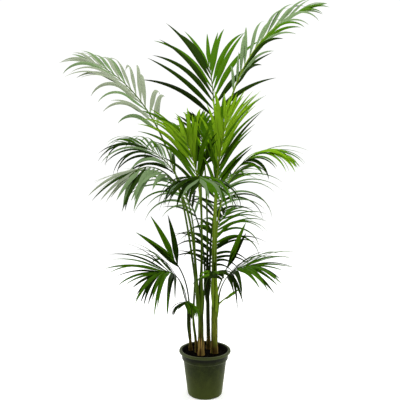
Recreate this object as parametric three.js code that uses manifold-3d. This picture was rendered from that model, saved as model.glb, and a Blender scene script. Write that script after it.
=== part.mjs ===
// A kentia palm (Howea forsteriana) in its plastic nursery pot: several young palms that share one pot.
// Millimetres, +Z up. The origin is the centre of the pot's flat underside. The tallest frond arches over to
// +X, and the front is at -Y.
import * as THREE from "three";
import { mergeVertices } from "three/addons/utils/BufferGeometryUtils.js";
import Module from "manifold-3d";

const wasm = await Module();
wasm.setup();

// ---- Driving dimensions ----
const CLEARANCE = 0.3; // left between two pieces that carry each other
const MERGE = 1e-4; // corners closer than this are one

const POT = {
  rimRadius: 120,
  height: 215,
  baseRadius: 80,
  wall: 2.4,
  lipDepth: 11, // the rolled edge of the rim
  collarRadius: 109, // the stepped band under the rim
  collarFoot: 170, // height where that band steps in to the wall
  collarStep: 5, // how high that step is
  collarTaper: 1.5, // how much narrower the band is at its foot
  wallTopRadius: 101,
  footRound: 12,
  edgeRound: 3, // of the rolled edge
  sides: 40,
  curvePoints: 3, // along each rounded edge
};
const SOIL = {
  top: 197,
  sideGap: 3.3, // between the wall's outside line and the soil, so wall and clearance
  edgeRound: 2, // how much narrower the soil's top edge is than the collar's inside
};

// Each stem: its foot on the soil, the top of its sheaths, and its radius at both.
const STEMS = {
  left: { foot: [-67, 26], top: [-72, 28, 345], footRadius: 6.5, topRadius: 5 },
  small: { foot: [-36, -8], top: [-55, -6, 370], footRadius: 6.5, topRadius: 5 },
  middle: { foot: [-18, -30], top: [-21, -22, 500], footRadius: 12, topRadius: 10.5 },
  right: { foot: [44, 0], top: [44, 2, 520], footRadius: 13.5, topRadius: 12.5 },
  back: { foot: [18, 46], top: [11, 54, 560], footRadius: 8.5, topRadius: 7 },
};
const STEM = {
  flare: 3.5, // how much wider the foot is than the taper alone
  flareHeight: 22,
  rings: 7,
  ringBias: 1.8, // crowds the rings towards the foot
  sides: 10,
};

// Each frond. On its stem: the height and the side where it leaves (0 to +X and 90 to +Y), or else the top.
// Its run: the lengths of bare stalk and leafy blade, its heading (azimuth, turned by swing along the run),
// its lean from upright, the bend that it gains by its tip, how late that comes (bow), and the blade's roll.
// Its leaflets: pairs, the longest one's length and width, the angle to the rib at foot and tip (splay), the
// share of that angle that each side opens to (lop), their rise out of the blade's plane, the droop of their
// tips, the share of a leaflet that is straight before it droops, its root's width as a share of its widest,
// and the share of the longest that the first and last ones have. Angles are in degrees.
const FROND_DEFAULTS = {
  swing: 0, bow: 2, roll: 0, splay: [50, 14], lop: [1, 1], rise: 10, droop: 40, straight: 0.22, root: 0.12,
  firstShare: 0.62, lastShare: 0.4,
};
const FRONDS = {
  top_right: {
    stem: "right", radius: 7, stalk: 880, blade: 540,
    azimuth: 4, lean: 0.4, bend: 74, bow: 2.9, roll: 28,
    pairs: 11, leaf: 270, width: 28, splay: [34, 10], rise: 10, droop: 76, straight: 0.4, lastShare: 0.3,
  },
  top_centre: {
    stem: "right", side: 110, leaves: 500, radius: 6, stalk: 790, blade: 310,
    azimuth: 70, swing: 36, lean: 4.6, bend: 32, bow: 2.2,
    pairs: 7, leaf: 420, width: 30, splay: [42, 8], rise: 8, droop: 36, firstShare: 0.95, lastShare: 0.45,
  },
  top_left: {
    stem: "middle", side: 165, leaves: 475, radius: 6, stalk: 770, blade: 480,
    azimuth: 172, lean: 7.5, bend: 63, bow: 2.5, roll: -22,
    pairs: 11, leaf: 305, width: 26, splay: [40, 12], lop: [1, 1.35], rise: 2, droop: 80, straight: 0.4,
    firstShare: 0.8, lastShare: 0.28,
  },
  fan_right: {
    stem: "right", side: 240, leaves: 495, radius: 6.5, stalk: 460, blade: 400,
    azimuth: 285, lean: 0, bend: 46, bow: 1.9,
    pairs: 9, leaf: 310, width: 26, splay: [36, 10], lop: [1, 0.4], rise: 16, droop: 30,
  },
  fan_left: {
    stem: "middle", radius: 6, stalk: 470, blade: 330,
    azimuth: 250, lean: -7, bend: 70, bow: 1.9,
    pairs: 9, leaf: 340, width: 27, splay: [40, 8], lop: [0.45, 1], rise: 14, droop: 46, straight: 0.4,
  },
  front_middle: {
    stem: "middle", side: 290, leaves: 470, radius: 6, stalk: 560, blade: 200,
    azimuth: 268, lean: -4, bend: 118, bow: 2.6,
    pairs: 9, leaf: 250, width: 32, splay: [84, 24], rise: -14, droop: 92, straight: 0.3,
  },
  grey_left: {
    stem: "middle", side: 232, leaves: 440, radius: 7.5, stalk: 630, blade: 265,
    azimuth: 228, lean: 5.5, bend: 124, bow: 3, roll: -12,
    pairs: 6, leaf: 290, width: 34, splay: [42, 20], rise: -36, droop: 34,
  },
  dark_left: {
    stem: "small", radius: 4.8, stalk: 670, blade: 280,
    azimuth: 170, lean: -3, bend: 90, bow: 2.7, roll: -20,
    pairs: 11, leaf: 290, width: 24, splay: [46, 14], rise: 2, droop: 104, straight: 0.25, firstShare: 0.8,
  },
  right_middle: {
    stem: "right", side: 300, leaves: 470, radius: 6, stalk: 500, blade: 340,
    azimuth: 328, lean: -1.5, bend: 104, bow: 2.8, roll: 14,
    pairs: 8, leaf: 275, width: 28, splay: [38, 12], lop: [1.2, 0.4], rise: 2, droop: 90, straight: 0.15,
  },
  inner_back: {
    stem: "back", radius: 5, stalk: 500, blade: 250,
    azimuth: 104, lean: -1, bend: 44, bow: 2,
    pairs: 8, leaf: 180, width: 24, splay: [50, 12], rise: 30, droop: 40,
  },
  back_high: {
    stem: "back", side: 350, leaves: 530, radius: 5, stalk: 300, blade: 320,
    azimuth: 66, lean: 2, bend: 88, bow: 2,
    pairs: 11, leaf: 335, width: 20, splay: [62, 24], rise: 2, droop: 90,
  },
  back_low: {
    stem: "back", side: 80, leaves: 470, radius: 5, stalk: 110, blade: 360,
    azimuth: 66, lean: 6, bend: 72, bow: 1.6,
    pairs: 13, leaf: 285, width: 20, splay: [64, 26], rise: 2, droop: 90, firstShare: 0.5,
  },
  low_left: {
    stem: "left", side: 200, leaves: 325, radius: 4, stalk: 238, blade: 150,
    azimuth: 215, lean: 1.5, bend: 116, bow: 2.3, roll: -24,
    pairs: 8, leaf: 305, width: 25, splay: [74, 16], rise: 4, droop: 56, root: 0.3, firstShare: 0.95,
  },
  low_left_upper: {
    stem: "left", radius: 4, stalk: 255, blade: 50,
    azimuth: 172, lean: 0, bend: 41, bow: 1.8, roll: -80,
    pairs: 2, leaf: 238, width: 34, splay: [32, 6], lop: [0.8, 1], rise: 4, droop: 12, lastShare: 0.95,
  },
  low_right: {
    stem: "right", side: 8, leaves: 430, radius: 4.5, stalk: 138, blade: 170,
    azimuth: 334, lean: 4, bend: 90, bow: 1.3, roll: 14,
    pairs: 8, leaf: 305, width: 25, splay: [70, 14], rise: -6, droop: 42, root: 0.3, firstShare: 0.9,
  },
  low_right_upper: {
    stem: "right", side: 90, leaves: 450, radius: 4, stalk: 140, blade: 40,
    azimuth: 10, lean: 19, bend: 8, bow: 1.5, roll: -60,
    pairs: 1, leaf: 220, width: 32, splay: [6, 6], rise: 10, droop: 6, lastShare: 0.95,
  },
  low_tuft: {
    stem: "small", side: 250, leaves: 335, radius: 3, stalk: 128, blade: 70,
    azimuth: 250, lean: 6, bend: 100, bow: 2,
    pairs: 4, leaf: 118, width: 22, splay: [84, 40], rise: -24, droop: 84, root: 0.3, firstShare: 0.9,
  },
  new_leaf: {
    stem: "right", side: 336, leaves: 424, radius: 3, stalk: 30, blade: 40,
    azimuth: 350, lean: 36, bend: 26, bow: 1.2, roll: -60,
    pairs: 1, leaf: 84, width: 18, splay: [6, 6], rise: 0, droop: 10, lastShare: 0.95,
  },
  back_left: {
    stem: "back", side: 170, leaves: 500, radius: 5, stalk: 330, blade: 330,
    azimuth: 140, lean: 2, bend: 92, bow: 2,
    pairs: 7, leaf: 290, width: 20, splay: [60, 22], rise: 2, droop: 90,
  },
  low_centre: {
    stem: "middle", side: 345, leaves: 455, radius: 3.5, stalk: 125, blade: 60,
    azimuth: 305, lean: 5, bend: 64, bow: 1.6,
    pairs: 3, leaf: 118, width: 32, splay: [98, 20], rise: 6, droop: 74, root: 0.3, firstShare: 0.9,
    lastShare: 0.7,
  },
};
const FROND = {
  steps: 60, // steps that a frond's run is worked out in
  stalkRings: 9,
  stalkSides: 5,
  ribRings: 9,
  ribSides: 4,
  seatShare: 0.6, // how far out of the stem's side the stalk's centre starts, in its own radii
  footShare: 0.55, // the stalk's radius at the blade's foot, as a share of its radius at the stem
  footRadius: 0.8, // added to that
  taperBias: 0.8, // below 1, the stalk thins soon after the stem
  tipRadius: 1.2,
  leafyShare: 0.985, // the share of the blade's rib that carries leaflets
};
const LEAFLET = {
  rings: [0, 0.3, 0.66], // the shares of its length that its sections stand at
  weepingRings: [0, 0.34, 0.7], // those of the drooping stretch of a leaflet that droops over weepingFrom
  weepingFrom: 60,
  thicknessShare: 0.012, // of its length, at its keel
  tipThins: 1.4, // the keel thins in step with this less its share of the length
  swell: 3, // how fast it widens from its root
  taperPower: 2.2, // the higher, the later it narrows
  taperBlunt: 0.9,
  narrowest: 0.7, // the width that a leaflet of no length would have, as a share of the widest leaflet's
  longestAt: 0.4, // the share of the way up the blade where the longest pair stands
  splayBias: 1.2,
  steepest: 92, // degrees below level that a tip may point, counted past the leaflet's own slope
  leastDroop: 0.1,
  turn: 10, // hash noise turns one leaflet by half of this each way, in degrees
  riseTurn: 12,
  lengthNoise: 0.16,
  droopNoise: 0.7,
};

const FINISHES = {
  pot: { color: 0x4b5433, roughness: 0.6 },
  soil: { color: 0x2a1c12, roughness: 0.95 },
  stem: { color: 0x6f7a35, roughness: 0.55 },
  stalk: { color: 0x5d7a26, roughness: 0.5 },
  leaf: { color: 0x3f6b1c, roughness: 0.5 },
};

// ---- Small helpers ----
const radians = THREE.MathUtils.degToRad;
const RIGHT = new THREE.Vector3(1, 0, 0);
const BACK = new THREE.Vector3(0, 1, 0);
const UP = new THREE.Vector3(0, 0, 1);

// A repeatable number from 0 to 1 for a seed and up to three more whole numbers.
function noise(seed, ...keys) {
  let hash = Math.imul(seed, 374761393);
  for (const key of keys) {
    hash = Math.imul(hash ^ (key + 0x9e3779b9), 668265263);
    hash ^= hash >>> 15;
  }
  hash = Math.imul(hash, 2246822519);
  hash ^= hash >>> 13;
  return (hash >>> 0) / 4294967296;
}

// A closed solid through rings of equally many points, each seen turning left from ahead of the run.
function loft(rings, tip = null) {
  const sides = rings[0].length;
  const points = rings.flat();
  const faces = [];
  const cap = (first, flip) => {
    for (let i = 1; i < sides - 1; i += 1)
      faces.push(first, first + (flip ? i + 1 : i), first + (flip ? i : i + 1));
  };
  for (let r = 0; r + 1 < rings.length; r += 1)
    for (let i = 0; i < sides; i += 1) {
      const a = r * sides + i;
      const b = r * sides + ((i + 1) % sides);
      faces.push(a, b, b + sides, a, b + sides, a + sides);
    }
  cap(0, true);
  const last = (rings.length - 1) * sides;
  if (tip) {
    points.push(tip);
    for (let i = 0; i < sides; i += 1) faces.push(last + i, last + ((i + 1) % sides), points.length - 1);
  } else cap(last, false);
  return new THREE.BufferGeometry().setFromPoints(points).setIndex(faces);
}

// A ring of points round a centre, in the plane of two directions, the first turning towards the second.
function ring(centre, across, beside, radius, sides) {
  return Array.from({ length: sides }, (_, i) => {
    const angle = (2 * Math.PI * i) / sides;
    return centre
      .clone()
      .addScaledVector(across, radius * Math.cos(angle))
      .addScaledVector(beside, radius * Math.sin(angle));
  });
}

function toSolid(geometry) {
  const bare = geometry.clone();
  bare.deleteAttribute("normal");
  bare.deleteAttribute("uv");
  const merged = mergeVertices(bare, MERGE);
  return new wasm.Manifold(
    new wasm.Mesh({
      numProp: 3,
      vertProperties: new Float32Array(merged.attributes.position.array),
      triVerts: new Uint32Array(merged.index.array),
    }),
  );
}

function toGeometry(solid) {
  const mesh = solid.getMesh();
  const geometry = new THREE.BufferGeometry();
  geometry.setAttribute("position", new THREE.BufferAttribute(mesh.vertProperties, 3));
  geometry.setIndex(new THREE.BufferAttribute(mesh.triVerts, 1));
  geometry.computeVertexNormals();
  return geometry;
}

const group = new THREE.Group();

function addPiece(name, geometry, finish) {
  const mesh = new THREE.Mesh(geometry, new THREE.MeshStandardMaterial(finish));
  mesh.name = name;
  group.add(mesh);
}

// ---- Pot and soil ----
// The pot's outside radius at a height between its rounded foot and its collar.
const wallRadius = (z) => POT.baseRadius + ((POT.wallTopRadius - POT.baseRadius) * z) / POT.collarFoot;

function pot() {
  const { rimRadius, height, baseRadius, wall, lipDepth, edgeRound, footRound, sides, curvePoints } = POT;
  const { collarRadius, collarFoot, collarStep, collarTaper, wallTopRadius } = POT;
  const outline = new THREE.Path();
  outline.moveTo(0, 0);
  outline.lineTo(baseRadius - footRound / 2, 0);
  outline.quadraticCurveTo(baseRadius, 0, wallRadius(footRound), footRound);
  outline.lineTo(wallTopRadius, collarFoot);
  outline.lineTo(collarRadius - collarTaper, collarFoot + collarStep);
  outline.lineTo(collarRadius, height - lipDepth - edgeRound);
  outline.lineTo(rimRadius, height - lipDepth);
  outline.lineTo(rimRadius, height - edgeRound);
  outline.quadraticCurveTo(rimRadius, height, rimRadius - edgeRound, height);
  outline.lineTo(collarRadius - wall, height);
  outline.lineTo(collarRadius - wall - collarTaper, collarFoot + collarStep + wall);
  outline.lineTo(wallTopRadius - wall, collarFoot);
  outline.lineTo(wallRadius(wall) - wall, wall);
  outline.lineTo(0, wall);
  return new THREE.LatheGeometry(outline.getPoints(curvePoints), sides).rotateX(Math.PI / 2);
}

function soil() {
  const foot = POT.wall + CLEARANCE;
  const aboveStep = POT.collarFoot + POT.collarStep + POT.wall + CLEARANCE;
  const bandRadius = POT.collarRadius - POT.collarTaper - SOIL.sideGap;
  const profile = [
    [0, foot],
    [wallRadius(foot) - SOIL.sideGap, foot],
    [POT.wallTopRadius - SOIL.sideGap, POT.collarFoot - CLEARANCE],
    [bandRadius, aboveStep],
    [bandRadius, SOIL.top - SOIL.edgeRound],
    [bandRadius - SOIL.edgeRound, SOIL.top],
    [0, SOIL.top],
  ].map(([radius, z]) => new THREE.Vector2(radius, z));
  return new THREE.LatheGeometry(profile, POT.sides).rotateX(Math.PI / 2);
}

// ---- Stems ----
// The centre of a stem at a height, on the straight line from its foot to its top.
function stemCentre(stem, z) {
  const foot = new THREE.Vector3(...stem.foot, SOIL.top);
  const share = (z - SOIL.top) / (stem.top[2] - SOIL.top);
  return foot.lerp(new THREE.Vector3(...stem.top), share);
}

function stemRadius(stem, z) {
  const share = (z - SOIL.top) / (stem.top[2] - SOIL.top);
  const taper = THREE.MathUtils.lerp(stem.footRadius, stem.topRadius, THREE.MathUtils.clamp(share, 0, 1));
  return taper + STEM.flare * Math.exp(-Math.max(0, z - SOIL.top) / STEM.flareHeight);
}

// A stem from its flat cut just clear of the soil, or that stem grown on all sides.
function stemGeometry(stem, grow = 0) {
  const foot = SOIL.top + CLEARANCE - grow;
  const height = stem.top[2] + grow - foot;
  const rings = Array.from({ length: STEM.rings }, (_, i) => {
    const z = foot + height * (i / (STEM.rings - 1)) ** STEM.ringBias;
    return ring(stemCentre(stem, z), RIGHT, BACK, stemRadius(stem, z) + grow, STEM.sides);
  });
  return loft(rings);
}

// ---- Fronds ----
// The frond's run: points, directions and upper sides at equal steps from the stem to the tip.
function frondRun(frond) {
  const stem = STEMS[frond.stem];
  const atTop = frond.side === undefined;
  const start = stemCentre(stem, atTop ? stem.top[2] : frond.leaves);
  if (!atTop) {
    const reach = stemRadius(stem, frond.leaves) + FROND.seatShare * frond.radius;
    start.x += reach * Math.cos(radians(frond.side));
    start.y += reach * Math.sin(radians(frond.side));
  }
  const headings = (share) => {
    const lean = radians(frond.lean + frond.bend * share ** frond.bow);
    const azimuth = radians(frond.azimuth + frond.swing * share);
    const [ahead, aside] = [Math.cos(azimuth), Math.sin(azimuth)];
    const along = new THREE.Vector3(Math.sin(lean) * ahead, Math.sin(lean) * aside, Math.cos(lean));
    const above = new THREE.Vector3(-Math.cos(lean) * ahead, -Math.cos(lean) * aside, Math.sin(lean));
    return { along, above: above.applyAxisAngle(along, radians(frond.roll)) };
  };
  const length = frond.stalk + frond.blade;
  const run = [{ point: start, ...headings(0) }];
  for (let i = 1; i <= FROND.steps; i += 1) {
    const { along } = headings((i - 0.5) / FROND.steps);
    const point = run[i - 1].point.clone().addScaledVector(along, length / FROND.steps);
    run.push({ point, ...headings(i / FROND.steps) });
  }
  return run;
}

// The place on a run at a distance from the stem.
function runAt(frond, run, distance) {
  const step = THREE.MathUtils.clamp((distance / (frond.stalk + frond.blade)) * FROND.steps, 0, FROND.steps);
  const before = run[Math.min(Math.floor(step), FROND.steps - 1)];
  const after = run[Math.min(Math.floor(step), FROND.steps - 1) + 1];
  const share = step - Math.min(Math.floor(step), FROND.steps - 1);
  return {
    point: before.point.clone().lerp(after.point, share),
    along: before.along.clone().lerp(after.along, share).normalize(),
    above: before.above.clone().lerp(after.above, share).normalize(),
  };
}

function runRadius(frond, distance) {
  const foot = FROND.footShare * frond.radius + FROND.footRadius;
  if (distance < frond.stalk)
    return THREE.MathUtils.lerp(frond.radius, foot, (distance / frond.stalk) ** FROND.taperBias);
  return THREE.MathUtils.lerp(foot, FROND.tipRadius, (distance - frond.stalk) / frond.blade);
}

function runGeometry(frond, run, from, to, rings, sides) {
  return loft(
    Array.from({ length: rings }, (_, i) => {
      const distance = from + ((to - from) * i) / (rings - 1);
      const { point, along, above } = runAt(frond, run, Math.max(distance, 0));
      point.addScaledVector(along, Math.min(distance, 0));
      const beside = above.clone().cross(along).normalize();
      return ring(point, beside, along.clone().cross(beside), runRadius(frond, Math.max(distance, 0)), sides);
    }),
  );
}

// A leaflet's length as a share of the longest, at its share of the way up the blade.
function leafletShare(frond, share) {
  const { longestAt } = LEAFLET;
  if (share < longestAt)
    return frond.firstShare + (1 - frond.firstShare) * Math.sin((Math.PI / 2) * (share / longestAt));
  const rest = (share - longestAt) / (1 - longestAt);
  return frond.lastShare + (1 - frond.lastShare) * Math.cos((Math.PI / 2) * rest);
}

// The guides of a frond's leaflets: root, direction at the root, length, width and droop.
function leafletGuides(frond, seed, run) {
  const guides = [];
  for (let pair = 0; pair < frond.pairs; pair += 1)
    for (const side of [-1, 1]) {
      const [turnNoise, riseNoise, lengthNoise, droopNoise] = [0, 1, 2, 3].map(
        (key) => noise(seed, pair, side + 1, key) - 0.5,
      );
      const share = (pair + (side < 0 ? 0.25 : 0.75)) / frond.pairs;
      const place = runAt(frond, run, frond.stalk + frond.blade * share * FROND.leafyShare);
      const beside = place.along.clone().cross(place.above).multiplyScalar(side);
      const open = THREE.MathUtils.lerp(frond.splay[0], frond.splay[1], share ** LEAFLET.splayBias);
      const splay = radians(open * frond.lop[side < 0 ? 0 : 1] + LEAFLET.turn * turnNoise);
      const rise = radians(frond.rise + LEAFLET.riseTurn * riseNoise);
      const outward = beside.multiplyScalar(Math.cos(rise)).addScaledVector(place.above, Math.sin(rise));
      const heading = place.along
        .clone()
        .multiplyScalar(Math.cos(splay))
        .addScaledVector(outward, Math.sin(splay))
        .normalize();
      const lengthShare = leafletShare(frond, share) * (1 + LEAFLET.lengthNoise * lengthNoise);
      const slope = Math.asin(THREE.MathUtils.clamp(heading.z, -1, 1));
      const droop = radians(frond.droop) * (1 + LEAFLET.droopNoise * droopNoise) * lengthShare;
      guides.push({
        root: place.point,
        heading,
        above: place.above,
        slope,
        droop: Math.min(droop, Math.max(LEAFLET.leastDroop, slope + radians(LEAFLET.steepest))),
        length: frond.leaf * lengthShare,
        width: frond.width * THREE.MathUtils.lerp(LEAFLET.narrowest, 1, lengthShare),
        straight: frond.straight,
        rootShare: frond.root,
      });
    }
  return guides;
}

// How a leaflet swells from its narrow root, and its width as a share of the widest.
const leafletSwell = (guide, share) => Math.min(1, guide.rootShare + LEAFLET.swell * share);
const leafletWidth = (guide, share) =>
  leafletSwell(guide, share) * (1 - share ** LEAFLET.taperPower) ** LEAFLET.taperBlunt;

// The centre and slope of a leaflet at a share of its length: straight at first, then one arc that droops.
function leafletAt(guide, share) {
  const { slope, droop, length } = guide;
  const level = new THREE.Vector3(guide.heading.x, guide.heading.y, 0).normalize();
  const straight = Math.min(share, guide.straight);
  const curved = share - straight;
  const rate = droop / (1 - guide.straight);
  let ahead = straight * Math.cos(slope);
  let rise = straight * Math.sin(slope);
  if (curved > 0) {
    ahead += (Math.sin(slope) - Math.sin(slope - rate * curved)) / rate;
    rise += (Math.cos(slope - rate * curved) - Math.cos(slope)) / rate;
  }
  const point = guide.root.clone().addScaledVector(level, length * ahead).addScaledVector(UP, length * rise);
  return { point, slope: slope - rate * curved, level };
}

// One leaflet: a three-sided blade, flat above with a keel below, to a point at its tip.
function leafletGeometry(guide) {
  const across = guide.heading.clone().cross(guide.above).normalize();
  const weeping = [0, ...LEAFLET.weepingRings.map((share) => guide.straight + (1 - guide.straight) * share)];
  const shares = guide.droop > radians(LEAFLET.weepingFrom) ? weeping : LEAFLET.rings;
  const rings = shares.map((share) => {
    const { point, slope, level } = leafletAt(guide, share);
    const axis = UP.clone().cross(level);
    const turned = across.clone().applyAxisAngle(axis, guide.slope - slope);
    const ahead = level.clone().multiplyScalar(Math.cos(slope)).addScaledVector(UP, Math.sin(slope));
    const half = (guide.width / 2) * leafletWidth(guide, share);
    const thins = Math.min(1, LEAFLET.tipThins - share);
    const keel = LEAFLET.thicknessShare * guide.length * leafletSwell(guide, share) * thins;
    const below = ahead.clone().cross(turned).normalize();
    return [
      point.clone().addScaledVector(turned, half),
      point.clone().addScaledVector(below, keel),
      point.clone().addScaledVector(turned, -half),
    ];
  });
  return loft(rings, leafletAt(guide, 1).point);
}

// ---- Assembly ----
const boxesMeet = (a, b) =>
  [0, 1, 2].every((axis) => a.min[axis] < b.max[axis] + CLEARANCE && b.min[axis] < a.max[axis] + CLEARANCE);

const placed = []; // every piece that a leaflet must keep clear of, with its box and the frond it belongs to

function place(solid, owner) {
  placed.push({ solid, owner, box: solid.boundingBox() });
}

function isClear(solid, owner) {
  const box = solid.boundingBox();
  return placed.every(
    (other) =>
      other.owner === owner ||
      !boxesMeet(box, other.box) ||
      solid.minGap(other.solid, 2 * CLEARANCE) >= CLEARANCE,
  );
}

addPiece("pot", pot(), FINISHES.pot);
addPiece("potting_soil", soil(), FINISHES.soil);

for (const [name, stem] of Object.entries(STEMS)) {
  const geometry = stemGeometry(stem);
  addPiece(`${name}_stem`, geometry, FINISHES.stem);
  place(toSolid(geometry), "stem");
}

const grown = Object.entries(FRONDS).map(([name, sizes], index) => {
  const frond = { ...FROND_DEFAULTS, ...sizes };
  const run = frondRun(frond);
  const { stalk, blade } = frond;
  const start = frond.side === undefined ? -1 : 0;
  const full = toSolid(
    runGeometry(frond, run, start, stalk - CLEARANCE / 2, FROND.stalkRings, FROND.stalkSides),
  );
  const stalkSolid = full.subtract(toSolid(stemGeometry(STEMS[frond.stem], CLEARANCE)));
  const rib = toSolid(
    runGeometry(frond, run, stalk + CLEARANCE / 2, stalk + blade, FROND.ribRings, FROND.ribSides),
  );
  addPiece(`${name}_stalk`, toGeometry(stalkSolid), FINISHES.stalk);
  place(stalkSolid, `${name} stalk`);
  place(rib, name);
  return { name, frond, run, rib, seed: index + 1 };
});

for (const { name, frond, run, rib, seed } of grown) {
  let solid = rib;
  for (const guide of leafletGuides(frond, seed, run)) {
    const leaflet = toSolid(leafletGeometry(guide));
    if (!isClear(leaflet, name)) continue;
    place(leaflet, name);
    solid = solid.add(leaflet);
  }
  addPiece(`${name}_frond`, toGeometry(solid), FINISHES.leaf);
}

export default group;
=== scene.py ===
"""The looks of a potted kentia palm: leaflets, ribs, stalks, stems, soil and pot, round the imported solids.

The crown grows by the same rule as the solids do, with more and finer leaflets. Sizes are in millimetres and
become metres where a mesh is made.
"""
import math

import bpy
import numpy as np
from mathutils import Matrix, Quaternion, Vector, noise


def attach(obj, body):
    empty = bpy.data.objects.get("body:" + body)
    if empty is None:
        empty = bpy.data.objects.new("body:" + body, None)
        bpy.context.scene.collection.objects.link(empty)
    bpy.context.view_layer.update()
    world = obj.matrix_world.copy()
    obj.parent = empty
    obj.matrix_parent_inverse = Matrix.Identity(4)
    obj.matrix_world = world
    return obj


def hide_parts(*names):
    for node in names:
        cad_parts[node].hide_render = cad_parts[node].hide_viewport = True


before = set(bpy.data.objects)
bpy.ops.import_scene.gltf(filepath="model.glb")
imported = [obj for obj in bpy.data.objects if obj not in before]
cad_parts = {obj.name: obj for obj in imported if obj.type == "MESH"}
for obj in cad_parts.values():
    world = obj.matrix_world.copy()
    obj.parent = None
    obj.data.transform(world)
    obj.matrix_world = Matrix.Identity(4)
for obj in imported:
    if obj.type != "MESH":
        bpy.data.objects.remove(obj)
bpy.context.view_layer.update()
BODY = "root"
MM = 0.001

# ---- The plant's rule: the sizes that its solids grow by, in millimetres and degrees ----
SOIL_TOP = 197
# The stems: where each stands in the soil, where its top is, and its radius at both.
STEMS = {
    "left": dict(foot=(-67, 26), top=(-72, 28, 345), foot_radius=6.5, top_radius=5),
    "small": dict(foot=(-36, -8), top=(-55, -6, 370), foot_radius=6.5, top_radius=5),
    "middle": dict(foot=(-18, -30), top=(-21, -22, 500), foot_radius=12, top_radius=10.5),
    "right": dict(foot=(44, 0), top=(44, 2, 520), foot_radius=13.5, top_radius=12.5),
    "back": dict(foot=(18, 46), top=(11, 54, 560), foot_radius=8.5, top_radius=7),
}
STEM_FLARE = 3.5
STEM_FLARE_HEIGHT = 22
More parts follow.
